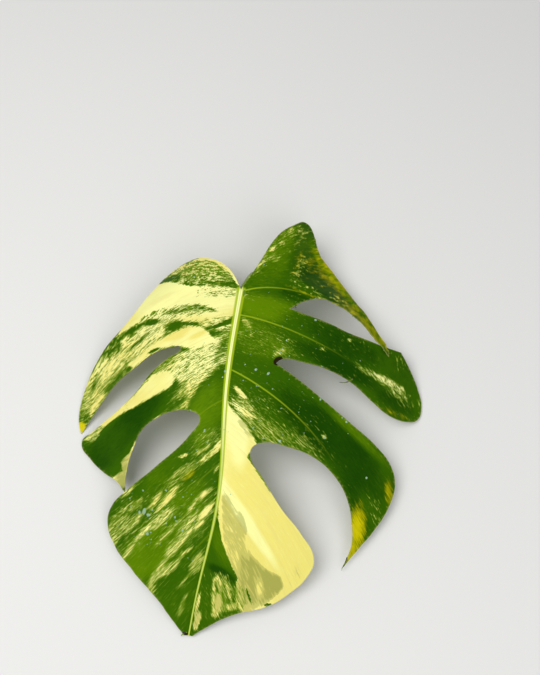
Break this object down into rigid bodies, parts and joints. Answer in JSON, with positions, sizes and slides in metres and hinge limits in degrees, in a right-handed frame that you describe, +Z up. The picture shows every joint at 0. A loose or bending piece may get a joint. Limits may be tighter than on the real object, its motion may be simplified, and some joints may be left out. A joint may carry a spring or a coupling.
{
  "type": "variegated monstera leaf",
  "caption": "Split, lobed tropical leaf with cream and green marbling, arched and lying face up on its lobe ends, with a short bent stalk under it.",
  "frame": {"origin": "middle of the leaf's footprint, on the surface that it lies on", "axes": "+Z up, away from the surface; the leaf tip points along -Y and the stalk notch towards +Y; +X to the right when the leaf is seen from above with its tip towards the viewer"},
  "size_m": [0.244, 0.299, 0.0518],
  "materials": {
    "leaf_blade": "semi-gloss living leaf, green marbled with cream, paler and duller underneath",
    "petiole": "satin green stalk with fine pale flecks"
  },
  "bodies": {
    "root": {"leaf_blade": "leaf_blade", "petiole": "petiole"}
  },
  "joints": []
}
